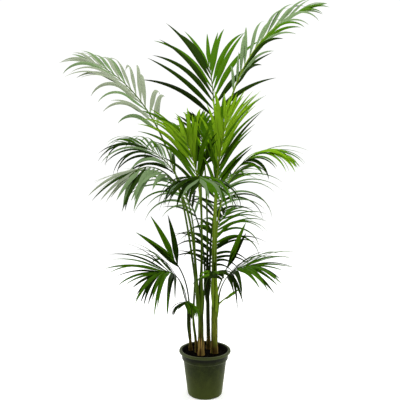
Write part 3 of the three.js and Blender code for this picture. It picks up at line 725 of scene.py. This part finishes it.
def stem_material(name, shaded, fresh, upper, spotted):
    """A stem's skin: sheaths streaked along them, the darker streaks partly painted shade, with brown spots,
    greener higher up and dry at the foot.
    """
    material, tree, skin = patterned_material(name, 0.5)
    # The streaks run from the shaded colour to the fresh one: the darker streaks are partly painted shade.
    streaks = patches(tree, 90, 4, 0.42, 0.58, stretch=(1, 1, 0.06))
    spots = patches(tree, 130, 5, 0.53, 0.64, stretch=(1, 1, 0.3))
    dry = patches(tree, 70, 5, 0.42, 0.58, stretch=(1, 1, 0.25))
    low_down = maths(tree, "SUBTRACT", 1, height_band(tree, 215, 330))
    colour = overlay(tree, spots, spotted, blend(tree, streaks, shaded, fresh), 0x4A3814)
    colour = overlay(tree, height_band(tree, 300, 420), 0.55, colour, upper)
    colour = overlay(tree, dry, low_down, colour, 0x6A5626)
    feed(tree, skin, {"Base Color": colour})
    return material


# Stems: fresh yellow-green sheaths on the young right stem, duller and darker ones on the others, and painted
# shade on the back stem's, darkest of all.
fresh_skin = stem_material("kentia stem sheath, fresh", 0x364608, 0x768222, 0x2E4C04, 0.8)
dull_skin = stem_material("kentia stem sheath, dull", 0x202C04, 0x505E16, 0x1C2C04, 0.6)
back_stem_painted_shade_skin = stem_material("kentia stem sheath, painted shade", 0x101804, 0x26340C, 0x101A04, 0.4)
STEM_SKINS = dict(left=dull_skin, small=dull_skin, middle=dull_skin, right=fresh_skin, back=back_stem_painted_shade_skin)

# Peat potting mix: dark and damp, in two browns.
soil_skin, tree, skin = patterned_material("peat potting mix", 0.95)
colour = blend(tree, patches(tree, 160, 5, 0.4, 0.66), 0x050302, 0x0E0905)
feed(tree, skin, {"Base Color": colour})


# ---- Pot ----
def closed_piece(name, start, rings, end, turned=False):
    """A closed mesh through rings of as many points, from a start point to an end point, in millimetres."""
    points = [start, *(point for ring in rings for point in ring), end]
    sides = len(rings[0])
    last = 1 + (len(rings) - 1) * sides
    faces = []
    for side in range(sides):
        after = (side + 1) % sides
        faces.append((0, 1 + after, 1 + side))
        for low in range(1, last, sides):
            faces.append((low + side, low + after, low + sides + after, low + sides + side))
        faces.append((last + side, last + after, len(points) - 1))
    if turned:
        faces = [(face[0], *face[:0:-1]) for face in faces]
    return new_object(name, [point * MM for point in points], faces=faces)


def level_ring(radius, height, sides):
    turns = [math.tau * side / sides for side in range(sides)]
    return [Vector((radius * math.cos(turn), radius * math.sin(turn), height)) for turn in turns]


def arc(centre, radius, first, last, steps):
    """Profile points round a centre, from one angle to another in degrees."""
    turns = [math.radians(lerp(first, last, i / steps)) for i in range(steps + 1)]
    return [(centre[0] + radius * math.cos(turn), centre[1] + radius * math.sin(turn)) for turn in turns]


def wall_radius(height):
    return lerp(POT_FOOT, POT_WALL_TOP[0], height / POT_WALL_TOP[1])


def pot_profile():
    """Radii and heights up the outside from the underside, over the rim and down the inside."""
    foot = []
    for share in (i / 6 for i in range(7)):
        widening = (wall_radius(FOOT_ROUND) - POT_FOOT) * share**2
        foot.append((POT_FOOT - FOOT_ROUND / 2 * (1 - share) ** 2 + widening, FOOT_ROUND * share**2))
    wall = [(wall_radius(height), height) for height in (40, 80, 120, 150, 166)]
    collar = [(101.6, 170), (103, 171.2), (106.6, 173.6), (107.5, 175.5), (108.2, 188), (108.9, 200)]
    rim = [(110.5, 202.5), (114, 203.6), (118.4, 203.8)]
    rim += arc((116.2, 208.5), 4.2, -60, 10, 5) + arc((116, 211), 4, 5, 95, 6)
    rim += [(112, 215), (108.6, 214.8), (106.8, 213.6)]
    inside = [(106.4, 208), (105.1, 178), (104, 176), (98.8, 170.4), (97.6, 165)]
    inside += [(wall_radius(height) - POT_WALL, height) for height in (120, 60, 14)]
    inside += [(wall_radius(6) - POT_WALL - 3, 5), (72, POT_WALL)]
    return [(40, 0), *foot, *wall, *collar, *rim, *inside]


def block(name, size, place, turn):
    """A box of a size round a place in millimetres, turned about the upright."""
    corners = [Vector((x, y, z)) for x in (-0.5, 0.5) for y in (-0.5, 0.5) for z in (-0.5, 0.5)]
    points = [corner * Vector(size) for corner in corners]
    for point in points:
        point.rotate(Quaternion((0, 0, 1), turn))
    faces = [(0, 1, 3, 2), (4, 6, 7, 5), (0, 4, 5, 1), (2, 3, 7, 6), (0, 2, 6, 4), (1, 5, 7, 3)]
    return new_object(name, [(point + Vector(place)) * MM for point in points], faces=faces)


def cut(piece, cutters):
    """Cuts the blocks out of a piece and removes them."""
    for cutter in cutters:
        modifier = piece.modifiers.new("cut", "BOOLEAN")
        modifier.operation = "DIFFERENCE"
        modifier.solver = "EXACT"
        modifier.object = cutter
    evaluated = piece.evaluated_get(bpy.context.evaluated_depsgraph_get())
    mesh = bpy.data.meshes.new_from_object(evaluated)
    piece.modifiers.clear()
    piece.data = mesh
    for cutter in cutters:
        bpy.data.objects.remove(cutter)


SLOT = (12, 18, 6)  # a drainage slot's depth, width and height
SLOT_TURNS = (-147, -57, 33, 123)  # where they lie round the foot
INNER_LIP = (90, 213)  # the inner wall is wider than this radius and ends at this height
rings = [level_ring(radius, height, POT_SIDES) for radius, height in pot_profile()]
pot = closed_piece("nursery_pot", Vector((0, 0, 0)), rings, Vector((0, 0, POT_WALL)))
slots = []
for number, turn in enumerate(SLOT_TURNS):
    angle = math.radians(turn)
    place = (POT_FOOT * math.cos(angle), POT_FOOT * math.sin(angle), SLOT[2] / 2)
    slots.append(block(f"slot_{number}", SLOT, place, angle))
cut(pot, slots)
pot.data.materials.clear()
for material in (pot_skin, painted_shade_inside_skin):
    pot.data.materials.append(material)
# Inward faces of the wall below the lip take the painted shade.
for face in pot.data.polygons:
    inwards = face.normal.xy.dot(face.center.xy) < 0 and face.center.z < INNER_LIP[1] * MM
    face.material_index = int(inwards and face.center.xy.length > INNER_LIP[0] * MM)
finish_piece(pot, ["pot"], crease=35)


# ---- Soil ----
def soil_height(x, y):
    """The height of the soil's top at a place in millimetres: uneven, and heaped up against the stems."""
    lift = 0
    for number, (tall, swells) in enumerate(SOIL_SWELLS):
        shift = Vector((number * 7.3, number * 3.1, 0))
        lift += tall * noise.noise(Vector((x, y, 0)) * MM * swells + shift)
    apart = [(x - stem["foot"][0]) ** 2 + (y - stem["foot"][1]) ** 2 for stem in STEMS.values()]
    heaps = sum(HEAP_HEIGHT * math.exp(-(squared / HEAP_RADIUS**2)) for squared in apart)
    return SOIL_TOP - SOIL_SINK + lift + heaps


SOIL_RINGS, SOIL_SIDES, SOIL_RADIUS = 44, 120, 105.2
SOIL_SINK = 1.5
SOIL_SWELLS = ((2.2, 28), (1.6, 90), (0.7, 260))  # how tall each kind of swell is, and how many to the metre
HEAP_HEIGHT, HEAP_RADIUS = 5, 22
SOIL_BASE, SOIL_GAP = 3.2, 0.6  # how high its underside is, and how far it keeps from the wall
rings = []
for number in range(1, SOIL_RINGS + 1):
    radius = SOIL_RADIUS * number / SOIL_RINGS
    turns = [math.tau * side / SOIL_SIDES for side in range(SOIL_SIDES)]
    places = [(radius * math.cos(turn), radius * math.sin(turn)) for turn in turns]
    rings.append([Vector((x, y, soil_height(x, y))) for x, y in places])
body = [(104.6, 180), (98, 170), (wall_radius(14) - POT_WALL - SOIL_GAP, 14), (72, SOIL_BASE)]
rings += [level_ring(radius, height, SOIL_SIDES) for radius, height in body]
soil = closed_piece("potting_mix", Vector((0, 0, SOIL_TOP)), rings, Vector((0, 0, SOIL_BASE)), turned=True)
soil.data.materials.append(soil_skin)
finish_piece(soil, ["potting_soil"], crease=60)


def crumb_tree(skins):
    """Scatters crumbs of peat and chips of bark over the top of the soil."""
    tree, given = node_tree("crumbs", Density="Float", Least="Vector", Most="Vector", Seed="Int")
    normal = add(tree, "ShaderNodeSeparateXYZ", {0: add(tree, "GeometryNodeInputNormal").outputs[0]})
    place = add(tree, "ShaderNodeSeparateXYZ", {0: add(tree, "GeometryNodeInputPosition").outputs[0]})
    faces_up = maths(tree, "GREATER_THAN", normal.outputs["Z"], 0.3)
    high_up = maths(tree, "GREATER_THAN", place.outputs["Z"], CRUMB_FLOOR * MM)
    on_top = maths(tree, "MULTIPLY", faces_up, high_up)
    spread = add(
        tree, "GeometryNodeDistributePointsOnFaces",
        {"Mesh": given["Geometry"], "Selection": on_top, "Density": given["Density"], "Seed": given["Seed"]},
    )
    ball = add(tree, "GeometryNodeMeshIcoSphere", {"Radius": 1, "Subdivisions": 2})
    lumpy = add(tree, "ShaderNodeTexNoise", {"Scale": 1.3})
    swell = add(tree, "ShaderNodeVectorMath", {0: lumpy.outputs["Color"], 1: (-0.5,) * 3}, operation="ADD")
    shaped = add(tree, "GeometryNodeSetPosition", {"Geometry": ball.outputs[0], "Offset": swell.outputs[0]})
    turn = add(tree, "FunctionNodeRandomValue", {1: (math.tau,) * 3, "Seed": 1}, data_type="FLOAT_VECTOR")
    sizes = {0: given["Least"], 1: given["Most"], "Seed": 2}
    size = add(tree, "FunctionNodeRandomValue", sizes, data_type="FLOAT_VECTOR")
    placed = add(
        tree, "GeometryNodeInstanceOnPoints",
        {"Points": spread.outputs[0], "Instance": shaped.outputs[0], "Rotation": turn.outputs[0],
         "Scale": size.outputs[0]},
    )
    kind = add(tree, "FunctionNodeRandomValue", {4: 0, 5: len(skins) - 1, "Seed": 3}, data_type="INT")
    marked = add(
        tree, "GeometryNodeStoreNamedAttribute",
        {"Geometry": placed.outputs[0], "Name": "kind", "Value": kind.outputs[2]},
        data_type="INT", domain="INSTANCE",
    )
    geometry = add(tree, "GeometryNodeRealizeInstances", {"Geometry": marked.outputs[0]}).outputs[0]
    return skinned(tree, geometry, "kind", skins)


# Loose bits on the soil: crumbs and chips of dark peat, brown peat and bark, with sizes in metres.
CRUMB_FLOOR = 188  # no bits lie lower than this
crumb_skins = [
    plain_material("dark peat crumb", 0x070503, 0.95),
    plain_material("brown peat crumb", 0x0E0A04, 0.95),
    plain_material("bark chip", 0x1E1608, 0.85),
]
scatter = crumb_tree(crumb_skins)
for name, density, least, most, seed in (
    ("peat_crumbs", 42000, (0.0008, 0.0008, 0.0006), (0.0028, 0.0026, 0.002), 4),
    ("bark_chips", 4200, (0.002, 0.0014, 0.0005), (0.006, 0.0034, 0.0012), 9),
):
    bed = soil.copy()
    bed.data = soil.data.copy()
    bed.name = name
    bpy.context.scene.collection.objects.link(bed)
    bed.data.materials.clear()
    grow(bed, scatter, Density=density, Least=least, Most=most, Seed=seed)
    finish_piece(bed, crease=50)


# ---- Stems ----
STEM_SIDES, STEM_RISE = 48, 3
STEM_ROOT = 185  # the height in the soil where a stem's mesh starts
STEM_OVERRUN, STEM_COVER = 110, 0.2  # how far a stem's mesh goes on over its top stalk, and how thick it ends
SHEATH_SLANT, SHEATH_STEP, SHEATH_EDGE = 55, 0.35, 5  # a sheath's edge: its slant, how far out and how soft
# The ribs and swells of a stem's skin: how tall each kind is, how many round the stem and how many along it.
STEM_SWELLS = ((0.35, 0.9, 0.006), (0.16, 3, 0.01), (0.5, 0.12, 0.03))
SCARS, SCAR_START, SCAR_SPACING, SCAR_SHIFT = 4, 14, 21, 6
SCAR_TILT, SCAR_HEIGHT, SCAR_WIDTH = 2.5, 0.7, 1.6
SWELL_CIRCLE = 12  # the radius of the circle that the swells are read on, so that they close


def sheath_steps(name, angle, height):
    """How far the sheaths of the leaves below their stalks stand out from the stem, in millimetres."""
    out = 0
    for frond in FRONDS.values():
        if frond["stem"] == name and frond["side"] is not None:
            off = angle - math.radians(frond["side"])
            edge = frond["leaves"] - SHEATH_SLANT * (0.5 - 0.5 * math.cos(off))
            out += SHEATH_STEP * smooth_step((edge - height) / SHEATH_EDGE)
    return out


def stem_relief(name, seed, angle, height):
    """The skin's height over the plain stem: ribs, swells, ring scars and overlapping sheaths."""
    x, y = math.cos(angle) * SWELL_CIRCLE, math.sin(angle) * SWELL_CIRCLE
    out = sum(
        tall * noise.noise(Vector((x * round_it, y * round_it, height * along_it + seed)))
        for tall, round_it, along_it in STEM_SWELLS
    )
    scar = 0
    for number in range(SCARS):
        ring = SOIL_TOP + SCAR_START + SCAR_SPACING * number + SCAR_SHIFT * hash_noise(seed, number)
        tilt = SCAR_TILT * math.cos(angle + number)
        scar += SCAR_HEIGHT * math.exp(-(((height - ring - tilt) / SCAR_WIDTH) ** 2))
    return out + scar + sheath_steps(name, angle, height)


def stem_mesh(name, seed):
    """A stem from under the soil to where its top leaf's stalk comes out of it."""
    stem = STEMS[name]
    frond = next(frond for frond in FRONDS.values() if frond["stem"] == name and frond["side"] is None)
    run = frond_run(frond)
    top_height = stem["top"][2]
    rings = []
    height = STEM_ROOT
    while height < top_height:
        rings.append((stem_centre(stem, height), Vector((0, 0, 1)), stem_radius(stem, height), height, 1))
        height += STEM_RISE
    overrun = int(STEM_OVERRUN / STEM_RISE)
    for i in range(overrun + 1):
        share = i / overrun
        point, along, _ = run_at(frond, run, STEM_OVERRUN * share)
        narrow = run_radius(frond, STEM_OVERRUN * share) + STEM_COVER
        radius = lerp(stem["top_radius"], narrow, smooth_step(share))
        rings.append((point, along, radius, top_height + STEM_OVERRUN * share, 1 - share))
    skin = []
    for point, along, radius, height, relief in rings:
        east = Vector((1, 0, 0))
        east = (east - along * along.dot(east)).normalized()
        north = along.cross(east)
        ring = []
        for side in range(STEM_SIDES):
            turn = math.tau * side / STEM_SIDES
            out = radius + relief * stem_relief(name, seed, turn, height)
            ring.append(point + (east * math.cos(turn) + north * math.sin(turn)) * out)
        skin.append(ring)
    piece = closed_piece(f"{name}_stem_sheaths", rings[0][0], skin, rings[-1][0])
    piece.data.materials.append(STEM_SKINS[name])
    return piece


STEM_SEEDS = {name: seed for seed, name in enumerate(STEMS, 31)}
for name, seed in STEM_SEEDS.items():
    finish_piece(stem_mesh(name, seed), [f"{name}_stem"], crease=50)


# ---- Dry husk at the stems' feet: straw-coloured strips of dead sheath, some weathered brown ----
husk_skins, husk_inner_skins = [], []
for name, outer, inner, roughness in (("straw", 0xA88A4A, 0x8A6C38, 0.8), ("brown", 0x5C4020, 0x3C2A16, 0.85)):
    husk_skins.append(plain_material(f"dry husk, {name}", outer, roughness))
    husk_inner_skins.append(plain_material(f"dry husk, {name} inside", inner, roughness + 0.05))
# How many strips each stem has, how tall they are at the most, and how wide.
HUSKS = dict(middle=(19, 104, 7), right=(6, 56, 5), left=(4, 40, 3), small=(6, 50, 4), back=(5, 44, 4))
HUSK_RINGS, HUSK_SUNK, HUSK_OFF, HUSK_TIP = 12, 3, 0.9, 0.25
HUSK_SCATTER, HUSK_SLANT = 0.6, 0.5  # how unevenly the strips stand round a stem, and how far they lean
HUSK_SHORTEST, HUSK_CURL, HUSK_RAGGED = 0.55, (1, 6), (0.8, 1.2)
BROWN_SHARE = 0.4
husk_lines = []
for seed, (name, (count, tall, wide)) in enumerate(HUSKS.items(), 61):
    stem = STEMS[name]
    for number in range(count):
        place, reach, spread, slant, shade = (hash_noise(seed, number, key) for key in (0, 1, 2, 3, 5))
        turn = math.tau * (number + HUSK_SCATTER * place) / count
        line = []
        for i in range(HUSK_RINGS + 1):
            share = i / HUSK_RINGS
            height = SOIL_TOP - HUSK_SUNK + tall * lerp(HUSK_SHORTEST, 1, reach) * share
            around = turn + HUSK_SLANT * (slant - 0.5) * share
            out = stem_radius(stem, height) + HUSK_OFF + lerp(*HUSK_CURL, spread**2) * share**3
            out += stem_relief(name, STEM_SEEDS[name], around, height)
            outward = Vector((math.cos(around), math.sin(around), 0))
            ragged = lerp(*HUSK_RAGGED, hash_noise(seed, number, 4, i))
            half = wide / 2 * (1 - share**3) * ragged + HUSK_TIP
            sideways = Vector((-outward.y, outward.x, 0))
            line.append((stem_centre(stem, height) + outward * out, sideways, half, shade < BROWN_SHARE))
        husk_lines.append(line)
strips = blade_tree(husk_skins, husk_inner_skins)
husks = grow(guide_lines("dry_husk_strips", husk_lines), strips, Sides=8, Fold=0.3, Pleat=0.0, Thickness=0.16)
finish_piece(husks, crease=30)


# ---- Studio ----
camera_data = bpy.data.cameras.new("camera")
camera = bpy.data.objects.new("camera", camera_data)
bpy.context.scene.collection.objects.link(camera)
camera_data.lens = 60.03
camera_data.sensor_width = 36
camera.location = (-0.023, -3.0, 1.307)
camera.rotation_euler = (math.radians(82.6), 0, 0)
bpy.context.scene.camera = camera

# A white sweep behind the plant and a dimmer room in front of it.
FRONT_LIGHT, BACK_LIGHT = 0.15, 1.05
FLOOR_GLOW = 0.45
world = bpy.data.worlds.new("studio")
bpy.context.scene.world = world
world.use_nodes = True
tree = world.node_tree
background = tree.nodes["Background"]
facing = add(tree, "ShaderNodeTexCoord").outputs["Generated"]
ahead = add(tree, "ShaderNodeSeparateXYZ", {0: facing}).outputs["Y"]
sweep = add(tree, "ShaderNodeMapRange", {0: ahead, 1: -0.5, 2: 0.3, 3: FRONT_LIGHT, 4: BACK_LIGHT})
feed(tree, background, {"Color": (1, 1, 1, 1), "Strength": sweep.outputs[0]})
floor = new_object("floor", [(-9, -4, 0), (9, -4, 0), (9, 30, 0), (-9, 30, 0)], faces=[(0, 1, 2, 3)])
floor_skin = plain_material("pale floor", 0xF4F4F4, 0.9)
tree = floor_skin.node_tree
feed(tree, tree.nodes["Principled BSDF"], {"Emission Color": (1, 1, 1, 1), "Emission Strength": FLOOR_GLOW})
floor.data.materials.append(floor_skin)

# A soft light above, and one on each side a little behind the plant.
for name, place, aim, size, power in (
    ("top light", (0, -0.6, 3.4), 1, 2, 60),
    ("left light", (-2.4, 0.9, 1.2), 0.8, 1.6, 30),
    ("right light", (2.4, 0.9, 1.2), 0.8, 1.6, 30),
):
    light = bpy.data.lights.new(name, "AREA")
    light.shape = "SQUARE"
    light.size = size
    light.energy = power
    lamp = bpy.data.objects.new(name, light)
    bpy.context.scene.collection.objects.link(lamp)
    lamp.location = place
    lamp.rotation_euler = (Vector((0, 0, aim)) - Vector(place)).to_track_quat("-Z", "Y").to_euler()
bpy.context.scene.view_settings.view_transform = "Standard"
